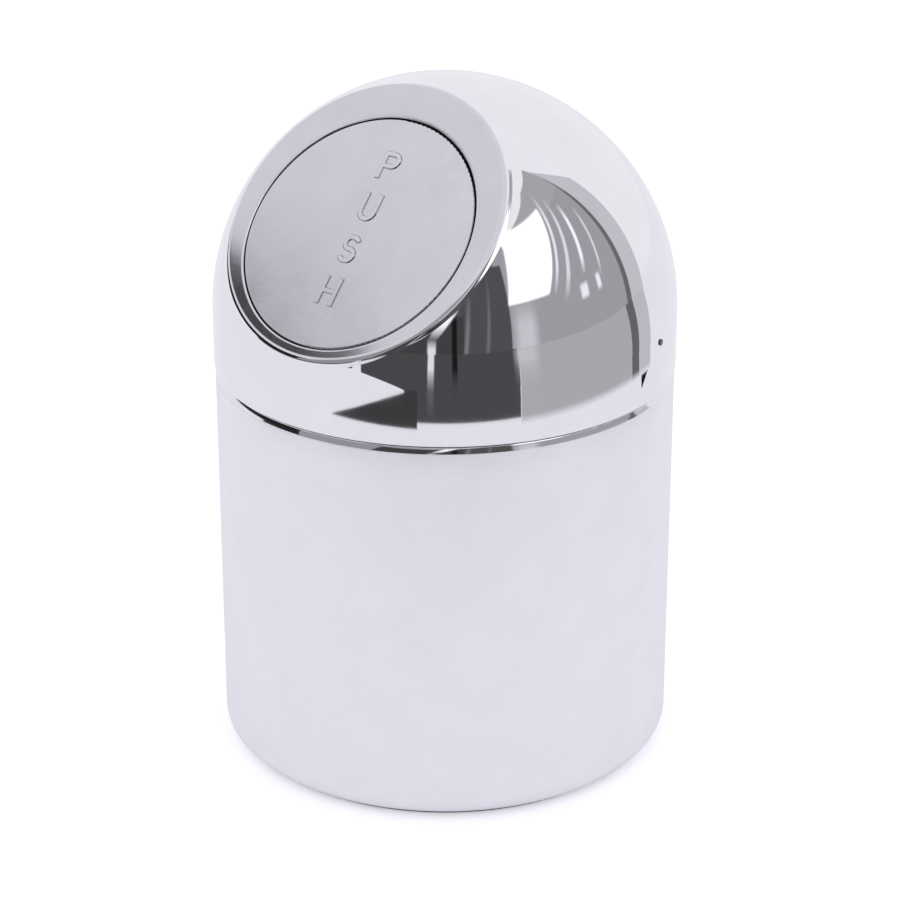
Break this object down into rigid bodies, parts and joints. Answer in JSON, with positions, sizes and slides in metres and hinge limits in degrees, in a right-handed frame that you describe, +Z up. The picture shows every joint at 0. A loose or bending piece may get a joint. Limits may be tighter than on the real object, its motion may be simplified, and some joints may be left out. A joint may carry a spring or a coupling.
{
  "type": "push-flap wastebasket",
  "caption": "Small round steel push-flap bin: satin can, mirror-polished domed lid with a slanted sprung flap, lift-out inner bucket with a bail handle.",
  "frame": {"origin": "centre of the base pad's underside, on the surface that the bin stands on", "axes": "+Z up along the can's axis; the slanted flap faces -Y; +X to the right of someone who faces the flap"},
  "size_m": [0.1708, 0.1708, 0.2553],
  "materials": {
    "satin_steel": "satin",
    "polished_steel": "polished",
    "dark_plastic": "matte",
    "bucket_plastic": "semi-matte",
    "steel_wire": "drawn",
    "plated_steel": "zinc plated",
    "rivet_steel": "darkened",
    "soft_rubber": "matte",
    "nylon": "natural"
  },
  "bodies": {
    "body": {"body_shell": "satin_steel", "rim_band": "polished_steel", "base_pad": "dark_plastic"},
    "bucket": {"inner_bucket": "bucket_plastic"},
    "bail": {"bail_handle": "steel_wire"},
    "lid_ring": {"seat_ring": "dark_plastic"},
    "lid": {"lid_dome": "polished_steel", "hinge_hoop": "plated_steel", "hinge_bracket": "plated_steel", "hoop_rivets": "rivet_steel", "bracket_rivets": "rivet_steel", "hinge_pin": "steel_wire", "pin_clips": "steel_wire", "stop_pads": "soft_rubber", "torsion_spring_left": "steel_wire", "torsion_spring_right": "steel_wire"},
    "flap": {"flap_disc": "satin_steel", "flap_backing": "dark_plastic", "flap_gasket": "soft_rubber", "knuckle_bushes": "nylon"}
  },
  "joints": [
    {"name": "lid_lift", "type": "slide", "parent": "body", "child": "lid_ring", "axis": [0, 0, 1], "range_m": [0, 0.2]},
    {"name": "lid_turn", "type": "hinge", "parent": "lid_ring", "child": "lid", "pos_m": [0, 0, 0.1488], "axis": [0, 0, 1], "continuous": true},
    {"name": "flap_push", "type": "hinge", "parent": "lid", "child": "flap", "pos_m": [0, -0.01168, 0.24151], "axis": [1, 0, 0], "range_deg": [0, 45], "stiffness_Nm_per_rad": 0.03, "springref_deg": -68.75},
    {"name": "bucket_lift", "type": "slide", "parent": "body", "child": "bucket", "axis": [0, 0, 1], "range_m": [0, 0.1]},
    {"name": "bail_swing", "type": "hinge", "parent": "bucket", "child": "bail", "pos_m": [0, 0, 0.131], "axis": [1, 0, 0], "range_deg": [0, 180]}
  ],
  "couplings": [
    {"joint": "bucket_lift", "follows": "lid_lift", "ratio": 0.5}
  ]
}
